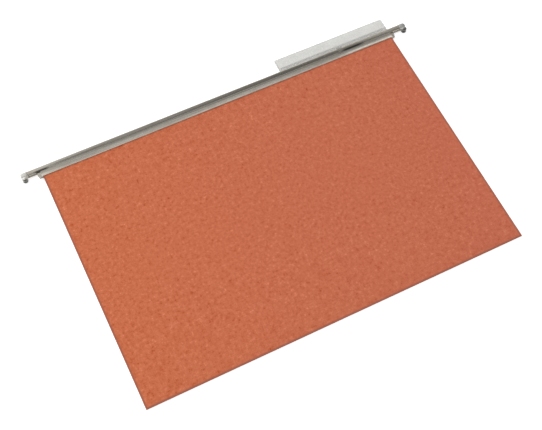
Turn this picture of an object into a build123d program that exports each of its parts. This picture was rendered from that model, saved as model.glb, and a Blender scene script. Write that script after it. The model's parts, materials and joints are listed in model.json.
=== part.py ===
# Hanging file folder, in millimetres: one sheet of card folded along the bottom, a rolled steel rail
# crimped on each of its two top edges, a hook tip in each end of each rail, and a clear label tab
# with a card insert, which slides along the front rail.
# The folder lies shut on its back: X runs along the rails, Y from the fold up to the rails, Z up.
# The origin is on the surface that it lies on, under the middle of the folder.
from build123d import *
import math
import os

# Card cover
card_width = 366.0
card_height = 240.0  # outside of the fold to the lower edge of a rail
card_thickness = 0.5
fold_inner_radius = 0.25
fold_clearance = 0.15  # between the fold and the front panel that swings round it
hem_play = 0.3  # above and below the turned hem, inside the bead
hem_radius = 0.4

# Rails
rail_sheet = 0.5
flange_height = 6.2  # lower edge of the rail to the underside of its bead
bead_height = 4.4
bead_depth = 2.4
bead_radius = 1.0
shoulder_radius = 0.4  # at the bead's underside, outside and inside the corner
flange_overhang = 0.8  # outer flange past the edge of the card
wall_overhang = 4.8  # inner wall past the edge of the card, where it stops the cabinet's rail
wall_taper = 1.4  # how far that wall's lower corner is drawn in

# Hook tips
notch_width = 7.7  # room for the cabinet's rail, between the inner wall and the tip
hook_width = 6.4
hook_drop = 8.9  # top of the bead to the end of the tip
hook_corner_radius = 2.0
hook_edge_radius = 0.9
shank_clearance = 0.05
shank_gap = 0.5  # between the end of the shank and the card's hem

# Label tab
tab_width = 119.2
tab_inset = 0.4  # from the right-hand end of the rail's flange
tab_wall = 0.5
tab_rise = 14.5  # above the top of the rail
tab_leg = 9.0  # reach of its back leg below the top of the rail
tab_clearance = 0.2  # between the tab and the rail that it slides on
tab_back_clearance = 0.3  # between the tab and the rear rail
tab_top_radius = 0.6
tab_corner_radius = 1.5
pocket_rise = 3.5  # top of the rail to the floor of the label's pocket
pocket_depth = 0.8
clip_width = 5.0
clip_offset = 4.6  # from the middle of the tab
clip_thickness = 0.7
clip_clearance = 0.3
clip_radius = 0.5

# Label insert
label_thickness = 0.3
label_clearance = 0.15
label_inset = 0.5  # from each end of the tab

# One leaf of the folder, measured from the axis of the fold: Y up the leaf, Z outwards
fold_outer_radius = fold_inner_radius + card_thickness
rail_foot = card_height - fold_outer_radius
bead_foot = rail_foot + flange_height
rail_top = bead_foot + bead_height
wall_face = fold_inner_radius - rail_sheet
flange_face = fold_outer_radius + rail_sheet
bead_face = wall_face + bead_depth
shoulder = min(shoulder_radius, 0.45 * (bead_face - flange_face))
hollow_foot = bead_foot + rail_sheet
hollow_top = rail_top - rail_sheet
hollow_face = bead_face - rail_sheet
hem_foot = hollow_foot + hem_play
hem_top = hollow_top - hem_play
hem_face = fold_outer_radius + card_thickness
slot_middle = fold_inner_radius + card_thickness / 2

# Along the rail, from the middle of the folder
flange_end = card_width / 2 + flange_overhang
wall_end = card_width / 2 + wall_overhang
bead_end = wall_end + notch_width
tip_end = bead_end + hook_width
hook_foot = rail_top - hook_drop

# The tab, on the front leaf
tab_middle = flange_end - tab_inset - tab_width / 2
tab_inside = wall_face - tab_clearance
tab_back = tab_inside - tab_wall
tab_front = tab_inside + pocket_depth + tab_wall
tab_top = rail_top + tab_rise
leg_foot = rail_top - tab_leg
skirt_foot = rail_top + tab_clearance
pocket_floor = rail_top + pocket_rise
clip_inside = bead_face + clip_clearance
clip_outside = clip_inside + clip_thickness
clip_tip_top = bead_foot - clip_clearance
clip_tip_foot = clip_tip_top - clip_thickness
clip_tip_face = flange_face + clip_clearance

# How the leaves lie at rest: the rear one on the fold and on its bead, the front one on the tab
leaf_gap = tab_wall + tab_clearance + tab_back_clearance
bead_contact = bead_foot + shoulder
contact_reach = math.hypot(bead_face, bead_contact)
rear_angle = math.atan2(bead_face, bead_contact) - math.asin(fold_outer_radius / contact_reach)
gap_reach = math.hypot(wall_face, rail_foot)
half_angle = math.asin(leaf_gap / 2 / gap_reach) - math.atan2(wall_face, rail_foot)
rear_rise = math.degrees(rear_angle)
front_rise = math.degrees(rear_angle + 2 * half_angle)
folder_depth = fold_outer_radius + tab_top * math.cos(math.radians(front_rise))
axis_y = fold_outer_radius - folder_depth / 2
axis_z = fold_outer_radius


def on_front(shape):
    return Pos(0, axis_y, axis_z) * Rot(front_rise, 0, 0) * shape


def on_rear(shape):
    return Pos(0, axis_y, axis_z) * Rot(rear_rise, 0, 0) * Rot(0, 180, 0) * shape


def block(low, high):
    width, height = (b - a for a, b in zip(low, high))
    return Pos(*low) * Rectangle(width, height, align=Align.MIN)


def along_rail(section, length, middle=0.0):
    return Pos(middle, 0, 0) * extrude(Plane.YZ * section, amount=length / 2, both=True)


def through_leaf(outline, low, high):
    return Pos(0, 0, low) * extrude(outline, amount=high - low)


def panel(start):
    corners = [
        (start, fold_inner_radius),
        (hem_top, fold_inner_radius),
        (hem_top, hem_face),
        (hem_foot, hem_face),
        (hem_foot, fold_outer_radius),
        (start, fold_outer_radius),
    ]
    radii = [0, hem_radius, hem_radius, 0, 0, 0]
    return along_rail(make_face(FilletPolyline(*corners, radius=radii, close=True)), card_width)


def bottom_fold():
    start = 90 + front_rise
    sweep = 180 + rear_rise - front_rise
    outer = CenterArc((0, 0), fold_outer_radius, start, sweep)
    inner = CenterArc((0, 0), fold_inner_radius, start, sweep)
    ends = [Line(outer @ 0, inner @ 0), Line(outer @ 1, inner @ 1)]
    return Pos(0, axis_y, axis_z) * along_rail(make_face([outer, inner, *ends]), card_width)


def rail_section():
    corners = [
        (rail_foot, wall_face),
        (rail_top, wall_face),
        (rail_top, bead_face),
        (bead_foot, bead_face),
        (bead_foot, flange_face),
        (rail_foot, flange_face),
    ]
    radii = [0, bead_radius, bead_radius, shoulder, shoulder, 0]
    outside = make_face(FilletPolyline(*corners, radius=radii, close=True))
    card_slot = block((rail_foot, fold_inner_radius), (bead_foot + bead_height / 2, fold_outer_radius))
    return outside - card_slot - hollow_section(0, bead_radius - rail_sheet)


def hollow_section(clearance, corner_radius):
    height = hollow_top - hollow_foot - 2 * clearance
    depth = hollow_face - fold_inner_radius - 2 * clearance
    middle = Pos((hollow_foot + hollow_top) / 2, (fold_inner_radius + hollow_face) / 2)
    return middle * RectangleRounded(height, depth, corner_radius)


def rail():
    whole = along_rail(rail_section(), 2 * bead_end)
    wall_corners = [
        (wall_end, bead_foot),
        (bead_end, bead_foot),
        (bead_end, rail_foot),
        (wall_end - wall_taper, rail_foot),
    ]
    wall_cut = through_leaf(make_face(Polyline(*wall_corners, close=True)), wall_face, slot_middle)
    flange_cut = through_leaf(block((flange_end, rail_foot), (bead_end, bead_foot)), slot_middle, bead_face)
    right_cut = wall_cut + flange_cut
    return whole - right_cut - mirror(right_cut, about=Plane.YZ)


def hook_tip():
    lobe_radius = hook_width / 2
    lobe = Pos(bead_end + lobe_radius, hook_foot + lobe_radius) * Circle(lobe_radius)
    upper = block((bead_end, hook_foot + lobe_radius), (tip_end, rail_top))
    upper = fillet(upper.vertices().sort_by(Axis.X)[-2:].sort_by(Axis.Y)[-1], hook_corner_radius)
    head = through_leaf(lobe + upper, wall_face, bead_face)
    head = fillet(head.faces().filter_by(Axis.Z).edges(), hook_edge_radius)
    shank_start = card_width / 2 + shank_gap
    shank_end = bead_end + lobe_radius
    shank_section = hollow_section(shank_clearance, bead_radius - rail_sheet)
    return head + along_rail(shank_section, shank_end - shank_start, (shank_start + shank_end) / 2)


def tab_section():
    corners = [
        (leg_foot, tab_back),
        (tab_top, tab_back),
        (tab_top, tab_front),
        (skirt_foot, tab_front),
        (skirt_foot, tab_front - tab_wall),
        (pocket_floor - tab_wall, tab_front - tab_wall),
        (pocket_floor - tab_wall, tab_inside),
        (leg_foot, tab_inside),
    ]
    radii = [0, tab_top_radius, tab_top_radius, 0, 0, 0, 0, 0]
    outside = make_face(FilletPolyline(*corners, radius=radii, close=True))
    return outside - block((pocket_floor, tab_inside), (tab_top - tab_wall, tab_front - tab_wall))


def clip_section():
    corners = [
        (skirt_foot, tab_front - tab_wall),
        (skirt_foot, clip_inside),
        (clip_tip_top, clip_inside),
        (clip_tip_top, clip_tip_face),
        (clip_tip_foot, clip_tip_face),
        (clip_tip_foot, clip_outside),
        (skirt_foot + clip_thickness, clip_outside),
        (skirt_foot + clip_thickness, tab_front - tab_wall),
    ]
    radii = [0, 0, 0, 0, 0, clip_radius, clip_radius, 0]
    return make_face(FilletPolyline(*corners, radius=radii, close=True))


def tab_sleeve():
    half_width = tab_width / 2
    corners = [(-half_width, leg_foot), (half_width, leg_foot), (half_width, tab_top), (-half_width, tab_top)]
    radii = [0, 0, tab_corner_radius, tab_corner_radius]
    outline = make_face(FilletPolyline(*corners, radius=radii, close=True))
    sleeve = along_rail(tab_section(), tab_width) & through_leaf(outline, tab_back, tab_front)
    return Pos(tab_middle, 0, 0) * (sleeve + along_rail(clip_section(), clip_width, clip_offset))


def label_insert():
    low = (pocket_floor + label_clearance, tab_inside + label_clearance)
    high = (tab_top - tab_wall - label_clearance, low[1] + label_thickness)
    return along_rail(block(low, high), tab_width - 2 * label_inset, tab_middle)


front_start = math.sqrt((fold_outer_radius + fold_clearance) ** 2 - fold_inner_radius**2)
right_tip = hook_tip()
left_tip = mirror(right_tip, about=Plane.YZ)

nodes = {
    "back_panel": on_rear(panel(0)),
    "front_panel": on_front(panel(front_start)),
    "bottom_fold": bottom_fold(),
    "rear_rail": on_rear(rail()),
    "front_rail": on_front(rail()),
    "rear_left_hook": on_rear(right_tip),
    "rear_right_hook": on_rear(left_tip),
    "front_left_hook": on_front(left_tip),
    "front_right_hook": on_front(right_tip),
    "tab_sleeve": on_front(tab_sleeve()),
    "label_insert": on_front(label_insert()),
}

os.makedirs("parts", exist_ok=True)
for name, shape in nodes.items():
    export_step(shape, f"parts/{name}.step")

print(f"fold axis at y {axis_y:.4f}, z {axis_z:.4f}")
print(f"rear leaf rises {rear_rise:.4f} degrees, front leaf {front_rise:.4f}")
print(f"up the leaf: rail foot {rail_foot:.3f}, bead foot {bead_foot:.3f}, rail top {rail_top:.3f}")
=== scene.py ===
import json
import math

import bmesh
import bpy
from mathutils import Matrix, Vector


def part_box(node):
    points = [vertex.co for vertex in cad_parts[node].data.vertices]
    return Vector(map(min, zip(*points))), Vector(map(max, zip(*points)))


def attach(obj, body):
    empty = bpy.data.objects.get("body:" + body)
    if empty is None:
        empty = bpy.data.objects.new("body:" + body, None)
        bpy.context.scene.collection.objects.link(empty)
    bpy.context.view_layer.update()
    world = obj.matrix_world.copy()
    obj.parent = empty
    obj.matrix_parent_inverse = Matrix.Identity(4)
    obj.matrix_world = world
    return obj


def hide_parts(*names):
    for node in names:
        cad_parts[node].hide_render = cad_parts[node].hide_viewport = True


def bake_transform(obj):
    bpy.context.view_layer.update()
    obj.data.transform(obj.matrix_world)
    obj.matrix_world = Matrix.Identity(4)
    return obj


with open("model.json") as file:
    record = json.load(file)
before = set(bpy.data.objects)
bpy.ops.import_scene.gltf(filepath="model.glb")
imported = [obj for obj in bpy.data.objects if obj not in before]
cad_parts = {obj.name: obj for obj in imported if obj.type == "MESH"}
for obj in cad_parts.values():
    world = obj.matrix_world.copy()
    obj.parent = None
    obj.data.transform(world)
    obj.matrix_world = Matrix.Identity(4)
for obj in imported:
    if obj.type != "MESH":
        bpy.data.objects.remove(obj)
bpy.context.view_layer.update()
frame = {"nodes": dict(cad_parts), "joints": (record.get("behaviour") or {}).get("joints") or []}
bpy.context.scene.view_settings.view_transform = "Standard"
print("frame loaded with", len(frame["nodes"]), "nodes")

# Each leaf of the folder is drawn flat, in millimetres, and laid in place when it is done:
# X along the rail, Y up from the fold, Z out of the folder.
leafSpec = {
    "foldJoint": "front_fold",
    "frontRise": 0.6855,  # slope of each leaf over the floor, in degrees
    "backRise": 0.3263,
    "cardMiddle": 0.5,  # middle of the card's thickness, from the axis of the fold
    "places": "leafPlace",  # attribute with each point's place on the flat leaf
}
metresPerMm = 0.001
foldAxis = Vector(next(j["pos_m"] for j in frame["joints"] if j["name"] == leafSpec["foldJoint"]))


def slopedPlace(rise):
    return Matrix.Translation(foldAxis) @ Matrix.Rotation(math.radians(rise), 4, "X")


toMetres = Matrix.Scale(metresPerMm, 4)
faceDown = Matrix.Rotation(math.pi, 4, "Y")
otherEnd = Matrix.Scale(-1, 4, (1, 0, 0))
frontPlace = slopedPlace(leafSpec["frontRise"]) @ toMetres
backPlace = slopedPlace(leafSpec["backRise"]) @ faceDown @ toMetres


def leafBox(node, place):
    # lowest and highest corner of a node, measured on its leaf in millimetres
    toLeaf = place.inverted()
    spots = [toLeaf @ vertex.co for vertex in frame["nodes"][node].data.vertices]
    low = Vector([min(spot[i] for spot in spots) for i in range(3)])
    high = Vector([max(spot[i] for spot in spots) for i in range(3)])
    return low, high


# Modelling, in millimetres and degrees
benchSpec = {
    "near": 0.004,  # places this close count as one
    "cutGap": 1e-4,  # corners this close to a cut lie on it
    "mergeGap": 1e-3,
    "fewestCuts": 2,  # in a bend
    "sharp": 40,  # edges that turn by more are eased
    "smooth": 20,  # faces that meet at less are shaded as one, so eased edges stay out of the flats
}


def near(first, second):
    return abs(first - second) < benchSpec["near"]


def clearPick():
    bpy.ops.object.select_all(action="DESELECT")


def applyPlace():
    bpy.ops.object.transform_apply(location=True, rotation=True, scale=True)


def startPlate(name, low, high, height):
    # a flat plate between two corners, left open for editing
    clearPick()
    middle = ((low[0] + high[0]) / 2, (low[1] + high[1]) / 2, height)
    bpy.ops.mesh.primitive_plane_add(size=1, location=middle)
    piece = bpy.context.active_object
    piece.name = name
    piece.data.name = name
    piece.scale = (high[0] - low[0], high[1] - low[1], 1)
    applyPlace()
    bpy.ops.object.mode_set(mode="EDIT")
    return piece


def pickAll():
    bpy.ops.mesh.select_all(action="SELECT")


def pick(kind, test):
    # selects the corners, edges or faces whose middle and span pass the test
    bpy.ops.mesh.select_mode(type=kind)
    bpy.ops.mesh.select_all(action="DESELECT")
    mesh = bmesh.from_edit_mesh(bpy.context.edit_object.data)
    for part in {"VERT": mesh.verts, "EDGE": mesh.edges, "FACE": mesh.faces}[kind]:
        corners = [part.co] if kind == "VERT" else [corner.co for corner in part.verts]
        middle = sum(corners, Vector()) / len(corners)
        span = Vector([max(c[i] for c in corners) - min(c[i] for c in corners) for i in range(3)])
        if test(middle, span):
            part.select_set(True)
    mesh.select_flush_mode()
    bmesh.update_edit_mesh(bpy.context.edit_object.data)


def pickRun(height, test=lambda middle: True):
    # selects the edges along the rail at this height up the leaf whose middle passes the test
    pick("EDGE", lambda m, s: near(m.y, height) and near(s.y, 0) and test(m))


def rollOn(spot, heading, steps, cutsPerQuarter=8):
    # carries the picked edge on through runs and bends, as sheet goes through rollers:
    # spot is the edge's Y and Z, heading its way in degrees from +Y towards +Z
    y, z = spot
    for kind, *sizes in steps:
        way = math.radians(heading)
        if kind == "run":
            length = sizes[0]
            move = (0, length * math.cos(way), length * math.sin(way))
            bpy.ops.mesh.extrude_region_move(TRANSFORM_OT_translate={"value": move})
            y += move[1]
            z += move[2]
        else:
            radius, turn = sizes
            side = math.copysign(radius, turn)
            pivot = (0, y - side * math.sin(way), z + side * math.cos(way))
            cuts = max(benchSpec["fewestCuts"], round(cutsPerQuarter * abs(turn) / 90))
            bpy.ops.mesh.spin(steps=cuts, angle=-math.radians(turn), center=pivot, axis=(1, 0, 0))
            heading += turn
            way = math.radians(heading)
            y = pivot[1] + side * math.sin(way)
            z = pivot[2] - side * math.cos(way)


def raiseAll(height):
    pickAll()
    bpy.ops.mesh.extrude_region_move(TRANSFORM_OT_translate={"value": (0, 0, height)})


def roundPicked(kind, radius, cuts):
    bpy.ops.mesh.bevel(affect=kind, offset=radius, segments=cuts, profile=0.5)


def cutPicked(spot, normal):
    bpy.ops.mesh.bisect(plane_co=spot, plane_no=normal, threshold=benchSpec["cutGap"])


def closeEdit():
    # merges what the steps left double, turns the faces one way and leaves edit mode
    pickAll()
    bpy.ops.mesh.remove_doubles(threshold=benchSpec["mergeGap"])
    bpy.ops.mesh.normals_make_consistent(inside=False)
    bpy.ops.object.mode_set(mode="OBJECT")


def finishWith(piece, kind, **settings):
    bpy.context.view_layer.objects.active = piece
    modifier = piece.modifiers.new(kind.lower(), kind)
    for key, value in settings.items():
        setattr(modifier, key, value)
    bpy.ops.object.modifier_apply(modifier=modifier.name)


def easeEdges(piece, width, cuts=2):
    finishWith(piece, "BEVEL", width=width, segments=cuts, limit_method="ANGLE",
               angle_limit=math.radians(benchSpec["sharp"]))


def joinTo(piece, other):
    finishWith(piece, "BOOLEAN", operation="UNION", object=other, solver="EXACT")
    bpy.data.objects.remove(other)


def copyOf(piece, name):
    twin = piece.copy()
    twin.data = piece.data.copy()
    twin.name = name
    twin.data.name = name
    bpy.context.scene.collection.objects.link(twin)
    return twin


def layDown(piece, place):
    # moves a finished piece from its flat leaf into the folder, with its place in its mesh
    clearPick()
    bpy.context.view_layer.objects.active = piece
    piece.select_set(True)
    piece.matrix_world = place
    applyPlace()
    if place.determinant() < 0:  # a mirrored copy is inside out
        bpy.ops.object.mode_set(mode="EDIT")
        pickAll()
        bpy.ops.mesh.flip_normals()
        bpy.ops.object.mode_set(mode="OBJECT")
    bpy.ops.object.shade_smooth_by_angle(angle=math.radians(benchSpec["smooth"]))


def markPlaces(piece, attribute):
    # keeps each point's present place with the mesh, for its material to read
    places = piece.data.attributes.new(attribute, "FLOAT_VECTOR", "POINT")
    places.data.foreach_set("vector", [n for vertex in piece.data.vertices for n in vertex.co])


def dress(piece, finish, slot, *nodes):
    piece.data.materials.append(finish)
    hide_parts(*nodes)


def mount(piece, place, finish, slot, body, node):
    # a piece that its material follows on the flat leaf, and that moves with one body
    markPlaces(piece, leafSpec["places"])
    layDown(piece, place)
    dress(piece, finish, slot, node)
    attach(piece, body)


# Shader nodes: in the dictionaries a noise is its scale, detail and roughness, a bump its strength
# and distance, and a share or roughness of two numbers its base and what a noise adds to it
noiseMiddle = 0.5


def tone(red, green, blue):
    # a colour as it is read on screen, 0 to 255, in Blender's linear numbers
    shares = [value / 255 for value in (red, green, blue)]
    return tuple(s / 12.92 if s <= 0.04045 else ((s + 0.055) / 1.055) ** 2.4 for s in shares) + (1.0,)


class Port:
    # one socket: arithmetic on it adds Math nodes
    def __init__(self, shader, socket):
        self.shader = shader
        self.socket = socket

    def maths(self, operation, first, second=0.0):
        return self.shader.add("ShaderNodeMath", {"operation": operation}, {0: first, 1: second})

    def __add__(self, other):
        return self.maths("ADD", self, other)

    def __radd__(self, other):
        return self.maths("ADD", other, self)

    def __sub__(self, other):
        return self.maths("SUBTRACT", self, other)

    def __rsub__(self, other):
        return self.maths("SUBTRACT", other, self)

    def __mul__(self, other):
        return self.maths("MULTIPLY", self, other)

    def __rmul__(self, other):
        return self.maths("MULTIPLY", other, self)

    def __abs__(self):
        return self.maths("ABSOLUTE", self)

    def most(self, other):
        return self.maths("MAXIMUM", self, other)

    def over(self, base, extra):
        return base + extra * self

    def towards(self, other, share):
        return (1 - share) * self + share * other

    def spread(self, start, end, kind="LINEAR"):
        # 0 at start and before, 1 at end and beyond; it falls along the axis where start is above end
        return self.shader.add("ShaderNodeMapRange", {"interpolation_type": kind},
                               {"Value": self, "From Min": start, "From Max": end})

    def ease(self, start, end):
        return self.spread(start, end, "SMOOTHSTEP")


class Shader:
    def __init__(self, owner, output="ShaderNodeOutputMaterial"):
        owner.use_nodes = True
        self.owner = owner
        self.output = output
        self.tree = owner.node_tree
        self.tree.nodes.clear()

    def add(self, kind, settings=None, sockets=None, out=0):
        node = self.tree.nodes.new(kind)
        for key, value in (settings or {}).items():
            setattr(node, key, value)
        for key, value in (sockets or {}).items():
            if isinstance(value, Port):
                self.tree.links.new(value.socket, node.inputs[key])
            else:
                node.inputs[key].default_value = value
        return Port(self, node.outputs[out]) if node.outputs else None

    def attribute(self, name):
        return self.add("ShaderNodeAttribute", {"attribute_name": name}, None, "Vector")

    def mix(self, share, first, second):
        # the node's colours go in at sockets 6 and 7 and come out at 2
        return self.add("ShaderNodeMix", {"data_type": "RGBA"}, {0: share, 6: first, 7: second}, 2)

    def axes(self, vector):
        node = self.add("ShaderNodeSeparateXYZ", None, {0: vector}).socket.node
        return [Port(self, socket) for socket in node.outputs]

    def stretch(self, vector, scale):
        return self.add("ShaderNodeMapping", None, {"Vector": vector, "Scale": scale})

    def noise(self, vector, scale, detail, roughness):
        return self.add("ShaderNodeTexNoise", None,
                        {"Vector": vector, "Scale": scale, "Detail": detail, "Roughness": roughness})

    def bump(self, height, strength, distance):
        return self.add("ShaderNodeBump", None,
                        {"Height": height, "Strength": strength, "Distance": distance})

    def skin(self, **sockets):
        named = {key.replace("_", " "): value for key, value in sockets.items()}
        return self.add("ShaderNodeBsdfPrincipled", None, named)

    def show(self, port):
        self.add(self.output, None, {"Surface": port})
        return self.owner


def newFinish(name):
    return Shader(bpy.data.materials.new(name))


# Cover card: one sheet, folded along its base, with a hem turned out along each top edge
cardSpec = {
    "thickness": 0.46,
    "hemBend": 0.26,  # radius of the hem's turn, at the middle of the card
    "hemLength": 1.5,
    "edgeRound": 0.1,
    "columns": 12,  # strips of its mesh, along the rail and up each leaf
    "rows": 8,
    "bendReach": 0.25,  # a reach each side of the fold's axis, worked out in foldCard and used for nothing
    "restPlaces": "restPlace",  # attribute with each point's place in the shut folder, in metres
    "light": tone(232, 145, 108),
    "dark": tone(174, 64, 9),
    "mottle": (330, 4, 0.75),
    "fibres": (220, 3, 0.6),
    "fibreSlim": 5,  # how much longer than wide
    "fibreShare": 0.19,  # of those along the rail, and of those across it
    "contrast": 1.35,
    "fleckContrast": 106,  # flecks stand out more than the rest
    "rightShade": tone(173, 98, 97),  # painted shade: a cooler tone mixed in more towards the right-hand side, standing in for the light falling off there
    "rightShadeShare": 0.25,
    "darkened": tone(162, 99, 80),  # darker along the side edges and along the fold
    "darkenedReach": (2.4, 0.96),  # from the edge: where it begins, and where it is full
    "darkenedShare": (0.55, 0.45),
    "grain": (1400, 3, 0.6),
    "grainRelief": 0.4,  # share of the grain in the bump, beside the mottle
    "bump": (0.35, 0.0002),
    "roughness": (0.78, 0.14),
    "gloss": 0.1,
}


def cardFinish():
    shader = newFinish("orange_card")
    spot = shader.attribute(cardSpec["restPlaces"])
    x, y = shader.axes(spot)[:2]
    mottle = shader.noise(spot, *cardSpec["mottle"])
    slim, share = cardSpec["fibreSlim"], cardSpec["fibreShare"]
    fibres = shader.noise(shader.stretch(spot, (1, slim, slim)), *cardSpec["fibres"])
    crossed = shader.noise(shader.stretch(spot, (slim, 1, slim)), *cardSpec["fibres"])
    swing = (1 - 2 * share) * mottle + share * fibres + share * crossed - noiseMiddle
    pulp = noiseMiddle + swing * (cardSpec["contrast"] + cardSpec["fleckContrast"] * swing * swing)
    colour = shader.mix(pulp, cardSpec["dark"], cardSpec["light"])
    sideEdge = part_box("front_panel")[1].x
    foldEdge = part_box("bottom_fold")[0].y
    # painted shade: the colour turns cooler towards the right-hand side, where less light falls
    rightShadeMix = cardSpec["rightShadeShare"] * x.spread(-sideEdge, sideEdge)
    colour = shader.mix(rightShadeMix, colour, cardSpec["rightShade"])
    # darker along the side edges and along the fold
    start, full = [reach * metresPerMm for reach in cardSpec["darkenedReach"]]
    atSides = abs(x).ease(sideEdge - start, sideEdge - full)
    atFold = y.ease(foldEdge + start, foldEdge + full)
    darkEdges = atSides.most(atFold) * pulp.over(*cardSpec["darkenedShare"])
    colour = shader.mix(darkEdges, colour, cardSpec["darkened"])
    grain = shader.noise(spot, *cardSpec["grain"])
    normal = shader.bump(mottle.towards(grain, cardSpec["grainRelief"]), *cardSpec["bump"])
    return shader.show(shader.skin(Base_Color=colour, Roughness=grain.over(*cardSpec["roughness"]),
                                   Normal=normal, Specular_IOR_Level=cardSpec["gloss"]))


def foldCard():
    low, high = leafBox("front_panel", frontPlace)
    middle = leafSpec["cardMiddle"]
    bend = cardSpec["hemBend"]
    hem = ("run", cardSpec["hemLength"])
    hemTurn = high.y - bend - cardSpec["thickness"] / 2
    opening = leafSpec["frontRise"] - leafSpec["backRise"]
    card = startPlate("folded_cover", (low.x, 0), (high.x, hemTurn), middle)
    pickRun(0)
    rollOn((0, middle), 180, [("bend", middle, 180 - opening), ("run", hemTurn), ("bend", bend, -180), hem])
    pickRun(hemTurn, lambda m: m.z > 0)
    rollOn((hemTurn, middle), 0, [("bend", bend, 180), hem])
    columns, rows = cardSpec["columns"], cardSpec["rows"]
    for i in range(1, columns):
        pickAll()
        cutPicked((low.x + (high.x - low.x) * i / columns, 0, 0), (1, 0, 0))
    for i in range(1, rows):
        pick("FACE", lambda m, s: s.y > hemTurn / rows / 2)  # both leaves, without fold and hems
        cutPicked((0, hemTurn * i / rows, 0), (0, 1, 0))
    closeEdit()
    finishWith(card, "SOLIDIFY", thickness=cardSpec["thickness"], offset=0, use_even_offset=True)
    easeEdges(card, cardSpec["edgeRound"])
    layDown(card, frontPlace)
    markPlaces(card, cardSpec["restPlaces"])
    dress(card, cardFinish(), "cover_card", "front_panel", "back_panel", "bottom_fold")
    between = math.radians((leafSpec["frontRise"] + leafSpec["backRise"]) / 2)
    outward = Vector((0, -math.sin(between), math.cos(between)))
    reach = cardSpec["bendReach"] * metresPerMm * outward
    foldAxis - reach
    foldAxis + reach
    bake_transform(card)


foldCard()
print("cover folded")

# Rails: steel strip rolled into a bead over the hem, with a flange down each side of the card
railSpec = {
    "sheet": 0.5,
    "cardFace": 0.75,  # outside of the card that the flange lies on
    "beadFoot": 245.45,  # up the leaf
    "beadLean": 9,  # slope of the bead's face, in degrees
    "shoulderTurn": 66,  # step from the flange out to the bead
    "shoulderBend": 0.3,
    "beadCuts": 10,  # in a quarter turn
    "troughUp": (21.0, 5),  # radius and turn of the flange's hollow, up to the shoulder
    "troughDown": (20.0, 9),  # and down to its lip
    "lipTurn": 4,  # flange's lower edge, turned away from the card
    "lipBend": 2.0,
    "lipLength": 0.3,
    "lipCuts": 30,
    "flangePast": 0.8,  # how far flange and wall go past the card's side
    "wallPast": 4.8,
    "wallTaper": 1.4,
    "edgeRound": 0.12,
    "bright": tone(212, 206, 195),
    "dull": tone(184, 177, 165),
    "drawn": (1, 3, 0.6),  # marks of the rollers, stretched along the rail
    "drawnStretch": (0.014, 0.9, 0.9),
    "cloud": (0.09, 3, 0.6),
    "specks": (0.7, 2, 0.5),
    "shares": (0.5, 0.3, 0.2),  # of these three in the colour
    "shadeSpan": (0.35, 0.65),  # of their sum, from dull to bright
    "grooveShade": tone(74, 69, 62),  # painted shade along the foot of the shoulder, where the groove is dark
    "grooveShadeLine": 245.2,  # up the leaf
    "grooveShadeReach": (1.9, 0.5),  # from that line: where it begins, and where it is full
    "grooveShadeShare": (0.08, 0.3),
    # where more painted shade and dark reflection lie: middle and reach along the rail, line and reach up
    # the leaf, share
    "shadePatches": (
        (-182.5, 11, 245.65, 1.4, 0.9),
        (-150, 34, 241.3, 2.4, 0.28),
        (-145, 44, 246.4, 1.3, 0.45),
        (92, 62, 246.95, 1.5, 0.45),
        (100, 48, 241.3, 2.2, 0.25),
        (141, 20, 245.5, 1.9, 0.95),
        (165, 46, 244.7, 2.2, 0.3),
    ),
    "shadePatchCore": (0.3, 0.2),  # part of each reach where a patch is full
    "speckRelief": 0.3,  # share of the specks in the bump, beside the drawn marks
    "bump": (0.12, 0.00005),
    "roughness": (0.21, -0.07),  # smoother where it is bright
    "shadeRoughness": 0.2,  # what the painted shade adds
}


def steelFinish():
    shader = newFinish("rolled_steel")
    spot = shader.attribute(leafSpec["places"])
    x, y, z = shader.axes(spot)
    drawn = shader.noise(shader.stretch(spot, railSpec["drawnStretch"]), *railSpec["drawn"])
    cloud = shader.noise(spot, *railSpec["cloud"])
    specks = shader.noise(spot, *railSpec["specks"])
    ofDrawn, ofCloud, ofSpecks = railSpec["shares"]
    shade = (ofDrawn * drawn + ofCloud * cloud + ofSpecks * specks).ease(*railSpec["shadeSpan"])
    colour = shader.mix(shade, railSpec["dull"], railSpec["bright"])
    # painted shade and painted dark reflections on the outside of the steel, along the groove and in
    # patches
    outside = z.ease(railSpec["cardFace"], railSpec["cardFace"] + railSpec["sheet"])
    offLine = abs(y - railSpec["grooveShadeLine"])
    paintedShade = offLine.ease(*railSpec["grooveShadeReach"]) * cloud.over(*railSpec["grooveShadeShare"])
    coreAlong, coreUp = railSpec["shadePatchCore"]
    for place, reach, line, rise, share in railSpec["shadePatches"]:
        along = abs(x - place).ease(reach, coreAlong * reach)
        paintedShade = paintedShade.most(share * along * abs(y - line).ease(rise, coreUp * rise))
    paintedShade = paintedShade * outside
    colour = shader.mix(paintedShade, colour, railSpec["grooveShade"])
    normal = shader.bump(drawn.towards(specks, railSpec["speckRelief"]), *railSpec["bump"])
    roughness = shade.over(*railSpec["roughness"]) + railSpec["shadeRoughness"] * paintedShade
    return shader.show(shader.skin(Base_Color=colour, Metallic=1.0, Roughness=roughness, Normal=normal))


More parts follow.
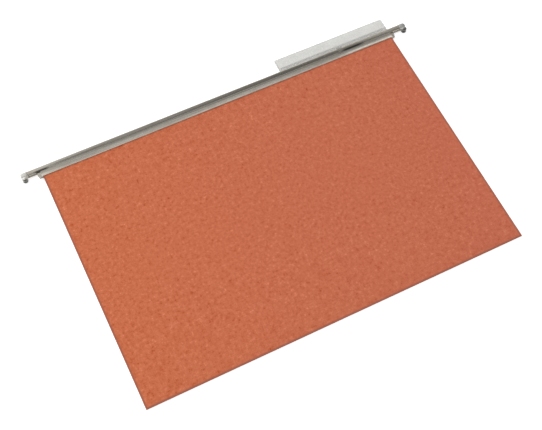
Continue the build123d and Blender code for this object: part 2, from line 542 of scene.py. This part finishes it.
def rollRail():
    low, high = leafBox("front_rail", frontPlace)
    cardSide = leafBox("front_panel", frontPlace)[1].x
    sheet = railSpec["sheet"]
    beadFoot = railSpec["beadFoot"]
    flange = railSpec["cardFace"] + sheet / 2
    wall = low.z + sheet / 2
    roll = (high.z - low.z - sheet) / 2
    leanTurn, stepTurn = railSpec["beadLean"], railSpec["shoulderTurn"]
    upBend, upTurn = railSpec["troughUp"]
    downBend, downTurn = railSpec["troughDown"]
    bend, lipBend, lipTurn = railSpec["shoulderBend"], railSpec["lipBend"], railSpec["lipTurn"]
    lean, step, up, down = [math.radians(turn) for turn in (leanTurn, stepTurn, upTurn, downTurn)]
    lip = down + math.radians(lipTurn)
    # how far the shoulder comes out, and the straight face that is left up to the roll
    reach = upBend * (1 - math.cos(up)) + bend * (math.cos(up) + math.cos(lean) - 2 * math.cos(step))
    rise = bend * (2 * math.sin(step) - math.sin(up) - math.sin(lean))
    rollMiddle = high.y - sheet / 2 - roll
    face = (wall + roll + roll * math.cos(lean) - flange - reach) / math.sin(lean)
    shoulderFoot = rollMiddle - roll * math.sin(lean) - face * math.cos(lean) - rise
    troughTop = shoulderFoot - upBend * math.sin(up)
    troughFoot = (low.y + sheet / 2 * math.sin(lip) + railSpec["lipLength"] * math.cos(lip)
                  + lipBend * (math.sin(lip) - math.sin(down)) + downBend * math.sin(down))
    rail = startPlate("front_rolled_rail", (low.x, troughFoot), (high.x, troughTop), flange)
    pickRun(troughTop)
    rollOn((troughTop, flange), 0, [
        ("bend", upBend, upTurn),
        ("bend", bend, stepTurn - upTurn),
        ("bend", bend, leanTurn - stepTurn),
        ("run", face),
        ("bend", roll, -180 - leanTurn),
        ("run", rollMiddle - beadFoot),
        ("run", beadFoot - low.y)], railSpec["beadCuts"])
    pickRun(troughFoot, lambda m: near(m.z, flange))
    rollOn((troughFoot, flange), 180, [
        ("bend", downBend, -downTurn),
        ("bend", lipBend, -lipTurn),
        ("run", railSpec["lipLength"])], railSpec["lipCuts"])
    # the flange ends just past the card, the wall a little later on a slant
    flangeEnd = cardSide + railSpec["flangePast"]
    wallEnd = cardSide + railSpec["wallPast"]
    slant = Vector((beadFoot - low.y, -railSpec["wallTaper"], 0)).normalized()
    split = (flange + wall) / 2
    for side in (1, -1):
        pick("FACE", lambda m, s: m.y < shoulderFoot and m.z > split)
        cutPicked((side * flangeEnd, 0, 0), (1, 0, 0))
        pick("FACE", lambda m, s: m.y < beadFoot and m.z < split)
        cutPicked((side * wallEnd, beadFoot, 0), (side * slant.x, slant.y, 0))
    pick("FACE", lambda m, s: abs(m.x) > cardSide and m.y < (shoulderFoot if m.z > split else beadFoot))
    bpy.ops.mesh.delete(type="FACE")
    closeEdit()
    finishWith(rail, "SOLIDIFY", thickness=sheet, offset=0, use_even_offset=True)
    easeEdges(rail, railSpec["edgeRound"])
    return rail


rail = rollRail()
rails = [
    (rail, frontPlace, "front", "front_rail"),
    (copyOf(rail, "rear_rolled_rail"), backPlace, "back", "rear_rail"),
]
steel = steelFinish()
for piece, place, body, node in rails:
    mount(piece, place, steel, "rail_steel", body, node)
print("rails rolled")

# Hook tips: a nylon cap on each end of a rail, with a ball below it and a shank inside the bead
tipSpec = {
    "capFoot": 245.0,  # up the leaf
    "cornerRound": (2.0, 6),  # outer top corner, as radius and cuts
    "footRound": (1.1, 5),
    "rimRound": (0.7, 5),
    "ball": 2.8,  # radius, along the leaf
    "ballCuts": (28, 18),  # round it, and from pole to pole
    "shank": ((246.1, 0.35), (249.15, 1.5)),  # Y and Z of its corners
    "shankOverlap": 1.5,  # how far it goes into the cap
    "pale": tone(204, 204, 201),
    "grey": tone(186, 186, 183),
    "cloud": (0.3, 3, 0.6),
    "shadeSpan": (0.35, 0.65),  # of the cloud, from grey to pale
    "leftHighlight": tone(250, 246, 232),  # painted highlight on the left-hand tips
    "leftHighlightShare": 0.4,
    "darkened": tone(104, 103, 99),  # painted shade on the foot of the ball
    "darkenedRise": (0.75, 0.1),  # up the ball, in its radii: where it begins, and where it is full
    "darkenedMore": 0.45,  # how much further up the painted shade reaches on the right-hand tips
    "darkenedShare": (0.6, 0.4),
    "metal": 0.9,
    "grain": (2.6, 2, 0.5),
    "bump": (0.15, 0.00006),
    "roughness": (0.24, 0.14),
}


def nylonFinish():
    shader = newFinish("grey_nylon")
    spot = shader.attribute(leafSpec["places"])
    cloud = shader.noise(spot, *tipSpec["cloud"])
    grain = shader.noise(spot, *tipSpec["grain"])
    colour = shader.mix(cloud.ease(*tipSpec["shadeSpan"]), tipSpec["grey"], tipSpec["pale"])
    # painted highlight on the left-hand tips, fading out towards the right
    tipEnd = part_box("front_right_hook")[1].x
    towardsRight = shader.axes(shader.add("ShaderNodeTexCoord", out="Object"))[0].spread(-tipEnd, tipEnd)
    colour = shader.mix(tipSpec["leftHighlightShare"] * (1 - towardsRight), colour, tipSpec["leftHighlight"])
    # painted shade on the foot of each ball, reaching further up on the right-hand tips
    foot = leafBox("front_right_hook", frontPlace)[0].y
    ball = tipSpec["ball"]
    height = shader.axes(spot)[1] - ball * tipSpec["darkenedMore"] * towardsRight
    start, full = [foot + ball * rise for rise in tipSpec["darkenedRise"]]
    darkened = height.ease(start, full) * cloud.over(*tipSpec["darkenedShare"])
    colour = shader.mix(darkened, colour, tipSpec["darkened"])
    return shader.show(shader.skin(Base_Color=colour, Metallic=tipSpec["metal"],
                                   Roughness=cloud.over(*tipSpec["roughness"]),
                                   Normal=shader.bump(grain, *tipSpec["bump"])))


def mouldTip():
    low, high = leafBox("front_right_hook", frontPlace)
    depth = high.z - low.z
    headSide = leafBox("front_rail", frontPlace)[1].x
    capFoot = tipSpec["capFoot"]
    tip = startPlate("front_right_tip", (headSide, capFoot), (high.x, high.y), low.z)
    pick("VERT", lambda m, s: near(m.y, capFoot))
    roundPicked("VERTICES", *tipSpec["footRound"])
    pick("VERT", lambda m, s: near(m.y, high.y) and near(m.x, high.x))
    roundPicked("VERTICES", *tipSpec["cornerRound"])
    raiseAll(depth)
    pick("EDGE", lambda m, s: near(s.z, 0))
    roundPicked("EDGES", *tipSpec["rimRound"])
    closeEdit()
    radius = tipSpec["ball"]
    middle = (high.x - radius, low.y + radius, (low.z + high.z) / 2)
    clearPick()
    cutsRound, cutsUp = tipSpec["ballCuts"]
    bpy.ops.mesh.primitive_uv_sphere_add(segments=cutsRound, ring_count=cutsUp, radius=1, location=middle)
    ball = bpy.context.active_object
    ball.scale = (radius, radius, depth / 2)
    applyPlace()
    joinTo(tip, ball)
    (shankY, shankZ), (shankTop, shankFace) = tipSpec["shank"]
    shankEnd = headSide + tipSpec["shankOverlap"]
    shank = startPlate("shank", (low.x, shankY), (shankEnd, shankTop), shankZ)
    raiseAll(shankFace - shankZ)
    closeEdit()
    joinTo(tip, shank)
    return tip


nylon = nylonFinish()
tip = mouldTip()
tips = [
    (copyOf(tip, "front_left_tip"), frontPlace @ otherEnd, "front", "front_left_hook"),
    (copyOf(tip, "rear_left_tip"), backPlace, "back", "rear_left_hook"),
    (copyOf(tip, "rear_right_tip"), backPlace @ otherEnd, "back", "rear_right_hook"),
    (tip, frontPlace, "front", "front_right_hook"),
]
for piece, place, body, node in tips:
    mount(piece, place, nylon, "tip_nylon", body, node)
print("hook tips moulded")

# Label tab: a clear sleeve over the rail, with a pocket for the label and a clip under the bead
tabSpec = {
    "wall": 0.5,
    "depth": 1.8,  # over both walls
    "topCuts": 6,  # in a quarter turn of the fold along its top
    "pocketFloor": 253.1,  # middle of the web under the label, up the leaf
    "skirtFoot": 250.05,
    "cornerRound": 1.5,
    "cornerCuts": 6,
    "clipWidth": 5.0,
    "clipOffset": 4.6,  # from the tab's middle
    "clipRelief": 0.6,  # slanted notch at each side of its root
    "clipTop": 250.65,
    "clipFoot": 244.45,
    "clipBends": (0.3, 0.35, 0.3),
    "clipCuts": 5,
    "clipTipFace": 1.55,
    "endSlack": 0.001,  # points this close to an end are pressed flat with it
    "edgeRound": 0.12,
    "film": tone(244, 244, 243),
    "dimFilm": tone(234, 234, 233),
    "cloud": (1, 3, 0.55),  # both stretched along the tab
    "cloudStretch": (0.06, 0.18, 0.18),
    "scuff": (1, 2, 0.5),
    "scuffStretch": (0.03, 0.9, 0.9),
    "haze": 0.1,  # share of the light that each face of the frosted film stops
    "cloudHaze": 0.06,
    "facingHaze": 0.5,  # what it stops besides when seen along its face
    "facingBlend": 0.35,
    "skirtShadeFilm": tone(206, 204, 196),  # painted shade on the film below the label
    "skirtShadeHaze": 0.12,
    "skirtRise": (1.5, -0.5),  # from the pocket's floor: where that begins, and where it is full
    "foldFilm": tone(214, 213, 208),  # fold along its top and cut ends
    "foldHaze": 0.2,
    "foldReach": (1.0, 0.5),  # from the edge: where that begins, and where it is full
    "clipHaze": 0.09,  # what the clip stops, tight on the rail
    "clear": tone(250, 250, 250),  # light that comes through
    "bump": (0.08, 0.0003),
    "roughness": (0.16, 0.14),
    "gloss": 0.5,
}


def clearFinish():
    shader = newFinish("clear_film")
    spot = shader.attribute(leafSpec["places"])
    x, y, z = shader.axes(spot)
    low, high = leafBox("tab_sleeve", frontPlace)
    cloud = shader.noise(shader.stretch(spot, tabSpec["cloudStretch"]), *tabSpec["cloud"])
    scuff = shader.noise(shader.stretch(spot, tabSpec["scuffStretch"]), *tabSpec["scuff"])
    # painted shade on the film below the label, darker and less clear
    skirt = y.ease(*[tabSpec["pocketFloor"] + rise for rise in tabSpec["skirtRise"]])
    clip = z.ease(tabSpec["depth"] / 2, tabSpec["depth"])
    start, full = tabSpec["foldReach"]
    middle, half = (low.x + high.x) / 2, (high.x - low.x) / 2
    fold = y.ease(high.y - start, high.y - full)
    ends = abs(x - middle).ease(half - start, half - full)
    rim = fold.most(ends)
    colour = shader.mix(cloud, tabSpec["dimFilm"], tabSpec["film"])
    colour = shader.mix(skirt, colour, tabSpec["skirtShadeFilm"])
    colour = shader.mix(rim, colour, tabSpec["foldFilm"])
    film = shader.skin(Base_Color=colour, Roughness=scuff.over(*tabSpec["roughness"]),
                       Normal=shader.bump(cloud, *tabSpec["bump"]), Specular_IOR_Level=tabSpec["gloss"])
    facing = shader.add("ShaderNodeLayerWeight", None, {"Blend": tabSpec["facingBlend"]}, "Facing")
    share = (tabSpec["haze"] + tabSpec["skirtShadeHaze"] * skirt) * (1 - clip) + tabSpec["clipHaze"] * clip
    share = share + tabSpec["foldHaze"] * rim + tabSpec["facingHaze"] * facing * facing
    share = share + tabSpec["cloudHaze"] * (cloud - noiseMiddle)
    through = shader.add("ShaderNodeBsdfTransparent", None, {"Color": tabSpec["clear"]})
    return shader.show(shader.add("ShaderNodeMixShader", None, {0: share, 1: through, 2: film}))


def foldTab():
    low, high = leafBox("tab_sleeve", frontPlace)
    half = tabSpec["wall"] / 2
    back = low.z + half
    front = low.z + tabSpec["depth"] - half
    bend = (front - back) / 2
    bendFoot = high.y - half - bend
    skirtFoot = tabSpec["skirtFoot"]
    ends = ((1, high.x), (-1, low.x))
    tab = startPlate("clear_tab", (low.x, low.y), (high.x, bendFoot), back)
    pickRun(bendFoot)
    rollOn((bendFoot, back), 0, [("bend", bend, 180), ("run", bendFoot - skirtFoot)], tabSpec["topCuts"])
    # columns at both ends, let down in turn to round the top corners
    corner, cuts = tabSpec["cornerRound"], tabSpec["cornerCuts"]
    columns = []
    for i in range(cuts + 1):
        swing = math.radians(90 * i / cuts)
        for side, end in ends:
            columns.append((end - side * corner * (1 - math.sin(swing)), corner * (1 - math.cos(swing))))
    clipX = (low.x + high.x) / 2 + tabSpec["clipOffset"]
    clipSide = tabSpec["clipWidth"] / 2
    clipReaches = (clipSide, clipSide + tabSpec["clipRelief"])
    clipColumns = [clipX + side * reach for side in (1, -1) for reach in clipReaches]
    for x in [column[0] for column in columns] + clipColumns:
        pickAll()
        cutPicked((x, 0, 0), (1, 0, 0))
    for x, drop in columns:
        pick("VERT", lambda m, s: near(m.x, x) and m.y > bendFoot - benchSpec["near"])
        bpy.ops.transform.translate(value=(0, -drop, 0))
    # web under the label, from wall to wall
    pickAll()
    cutPicked((0, tabSpec["pocketFloor"], 0), (0, 1, 0))
    pickRun(tabSpec["pocketFloor"])
    bpy.ops.mesh.bridge_edge_loops()
    # clip: out over the bead, down and back in below it
    clipTop = tabSpec["clipTop"]
    pickRun(skirtFoot, lambda m: abs(m.x - clipX) < clipSide)
    bpy.ops.transform.translate(value=(0, clipTop - skirtFoot, 0))
    rootBend, kneeBend, toeBend = tabSpec["clipBends"]
    shin = high.z - half
    armHeight = clipTop - rootBend
    rollOn((clipTop, front), 180, [
        ("bend", rootBend, -90),
        ("run", shin - kneeBend - front - rootBend),
        ("bend", kneeBend, 90),
        ("run", armHeight - kneeBend - tabSpec["clipFoot"] - half - toeBend),
        ("bend", toeBend, 90),
        ("run", shin - toeBend - tabSpec["clipTipFace"])], tabSpec["clipCuts"])
    closeEdit()
    finishWith(tab, "SOLIDIFY", solidify_mode="NON_MANIFOLD", nonmanifold_thickness_mode="EVEN",
               nonmanifold_boundary_mode="NONE", thickness=tabSpec["wall"], offset=0)
    # the rounded corners lean out a little, so the ends are pressed flat
    bpy.ops.object.mode_set(mode="EDIT")
    for side, end in ends:
        pick("VERT", lambda m, s: side * (m.x - end) > -tabSpec["endSlack"])
        bpy.ops.transform.resize(value=(0, 1, 1), center_override=(end, 0, 0))
    bpy.ops.object.mode_set(mode="OBJECT")
    easeEdges(tab, tabSpec["edgeRound"])
    return tab


mount(foldTab(), frontPlace, clearFinish(), "tab_plastic", "tab", "tab_sleeve")
print("label tab folded")

# Label: a blank strip of white card in the tab's pocket
labelSpec = {
    "cornerRound": (0.6, 4),  # radius and cuts
    "edgeRound": (0.05, 1),
    "white": tone(250, 249, 245),
    "shade": tone(240, 239, 234),
    "pulp": (600, 4, 0.65),
    "cloud": (80, 2, 0.5),
    "cloudShare": 0.4,  # in the colour, beside the pulp
    "shadeSpan": (0.35, 0.65),  # of both, from shade to white
    "bump": (0.2, 0.00008),
    "roughness": (0.75, 0.15),
    "gloss": 0.25,
}


def paperFinish():
    shader = newFinish("white_paper")
    spot = shader.add("ShaderNodeTexCoord", out="Object")
    pulp = shader.noise(spot, *labelSpec["pulp"])
    cloud = shader.noise(spot, *labelSpec["cloud"])
    shade = pulp.towards(cloud, labelSpec["cloudShare"]).ease(*labelSpec["shadeSpan"])
    colour = shader.mix(shade, labelSpec["shade"], labelSpec["white"])
    return shader.show(shader.skin(Base_Color=colour, Roughness=pulp.over(*labelSpec["roughness"]),
                                   Normal=shader.bump(pulp, *labelSpec["bump"]),
                                   Specular_IOR_Level=labelSpec["gloss"]))


def cutLabel():
    low, high = leafBox("label_insert", frontPlace)
    label = startPlate("blank_label", low, high, low.z)
    pickAll()
    roundPicked("VERTICES", *labelSpec["cornerRound"])
    raiseAll(high.z - low.z)
    closeEdit()
    easeEdges(label, *labelSpec["edgeRound"])
    return label


label = cutLabel()
layDown(label, frontPlace)
dress(label, paperFinish(), "label_card", "label_insert")
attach(label, "label")
print("label cut")

# Floor, lamps and camera, in metres
stageSpec = {
    "floorSize": 12.0,
    "floorDrop": 0.0002,
    "floorWhite": 0.8,
    "floorLift": 0.6,  # added where the floor is seen, so that it shows white
    "lamps": {"key": ((-1.1, 0.2, 1.9), 15.6), "fill": ((1.3, 0.1, 1.8), 7.6)},  # place and watts
    "lampSize": 1.4,
    "camera": (-0.201777, -0.361251, 0.787029),
    "azimuth": 28.823,  # way that the camera looks, in degrees from +Y towards +X
    "elevation": 63.388,
    "roll": 2.931,
    "lens": 64.562,
    "nearClip": 0.01,
}


def seenRays(shader):
    # 1 where the camera looks straight, by a reflection or through the film, else 0
    kinds = ("Camera", "Glossy", "Transmission")
    rays = [shader.add("ShaderNodeLightPath", out=f"Is {kind} Ray") for kind in kinds]
    return rays[0].most(rays[1]).most(rays[2])


def layFloor():
    clearPick()
    bpy.ops.mesh.primitive_plane_add(size=stageSpec["floorSize"], location=(0, 0, -stageSpec["floorDrop"]))
    floor = bpy.context.active_object
    floor.name = "floor"
    shader = newFinish("white_floor")
    white = stageSpec["floorWhite"]
    ground = shader.add("ShaderNodeBsdfDiffuse", None, {"Color": (white, white, white, 1)})
    lift = shader.add("ShaderNodeEmission", None, {"Strength": stageSpec["floorLift"] * seenRays(shader)})
    floor.data.materials.append(shader.show(shader.add("ShaderNodeAddShader", None, {0: ground, 1: lift})))


# Room that the metal shows, by the direction of what is seen: Y points behind the folder, X to the right.
# Each glow is its strength and the spans along Y and along X where it comes up, or dies down
# where a span runs backwards.
overhead, steep = (0.03, 0.18), (0.48, 0.3)
overheadLeft = (-0.06, 0.1)
farBehind, lowBehind = (0.28, 0.56), (0.55, 0.64)
before, besideViewer = (0.1, -0.2), (-0.1, -0.45)
roomSpec = {
    "level": 0.06,  # all round
    "walls": (0.45, 0.25),  # along Z: white from here down, where the camera sees them
    "glows": {
        "above": (0.18, [overhead], []),
        "dimmerRight": (-0.05, [overhead], [(0.26, 0.34)]),
        "right": (0.3, [overhead, steep], [(0.32, 0.375)]),
        "rightCore": (0.22, [overhead, steep], [(0.345, 0.39)]),
        "farRight": (-0.364, [overhead, steep], [(0.44, 0.58)]),
        "left": (0.2, [overheadLeft, steep], [(0.24, 0.08)]),
        "leftCore": (0.65, [overheadLeft, steep], [(0.05, -0.005)]),
        "behind": (0.38, [farBehind], []),
        "behindRight": (-0.3, [farBehind], [(0.385, 0.425)]),
        "low": (0.12, [lowBehind], []),
        "lowLeft": (0.4, [lowBehind], [(0.05, 0.0)]),
        "lowLine": (1.4, [(0.535, 0.6), (0.7, 0.64)], [(0.33, 0.385), (0.47, 0.41)]),
        "leftCorner": (0.6, [(0.42, 0.5)], [(0.01, -0.02)]),
        "beforeMiddle": (0.14, [before], [(0.03, 0.1), (0.34, 0.26)]),
        "beforeRight": (0.14, [before], [(0.385, 0.42)]),
        "viewer": (0.3, [(-0.3, -0.55)], []),
        "viewerRight": (0.35, [besideViewer], [(0.4, 0.65)]),
        "viewerLeft": (0.35, [besideViewer], [(-0.4, -0.65)]),
    },
}


def lightRoom():
    world = bpy.data.worlds.new("studio")
    bpy.context.scene.world = world
    shader = Shader(world, "ShaderNodeOutputWorld")
    x, y, z = shader.axes(shader.add("ShaderNodeTexCoord", out="Generated"))
    level = roomSpec["level"]
    for glow, spansBehind, spansRight in roomSpec["glows"].values():
        for axis, spans in ((y, spansBehind), (x, spansRight)):
            for span in spans:
                glow = glow * axis.ease(*span)
        level = level + glow
    pale = seenRays(shader) * z.ease(*roomSpec["walls"])
    level = level + pale * (1 - level)
    shader.show(shader.add("ShaderNodeBackground", None, {"Color": (1, 1, 1, 1), "Strength": level}))


def hangLamp(name, place, watts):
    # a round lamp that shines on the middle of the folder
    clearPick()
    bpy.ops.object.light_add(type="AREA", location=place)
    lamp = bpy.context.active_object
    lamp.name = name
    lamp.data.shape = "DISK"
    lamp.data.size = stageSpec["lampSize"]
    lamp.data.energy = watts
    lamp.rotation_euler = (-Vector(place)).to_track_quat("-Z", "Y").to_euler()
    lamp.visible_glossy = False


def setCamera():
    turn, tilt, roll = [math.radians(stageSpec[key]) for key in ("azimuth", "elevation", "roll")]
    look = Vector((math.sin(turn) * math.cos(tilt), math.cos(turn) * math.cos(tilt), -math.sin(tilt)))
    right = Vector((math.cos(turn), -math.sin(turn), 0))
    up = right.cross(look)
    across = math.cos(roll) * right + math.sin(roll) * up
    upright = math.cos(roll) * up - math.sin(roll) * right
    bpy.ops.object.camera_add()
    camera = bpy.context.active_object
    camera.data.lens = stageSpec["lens"]
    camera.data.clip_start = stageSpec["nearClip"]
    place = Matrix((across, upright, -look)).transposed().to_4x4()
    place.translation = stageSpec["camera"]
    camera.matrix_world = place
    bpy.context.scene.camera = camera


layFloor()
lightRoom()
for name, (place, watts) in stageSpec["lamps"].items():
    hangLamp(name, place, watts)
setCamera()
print("stage set")
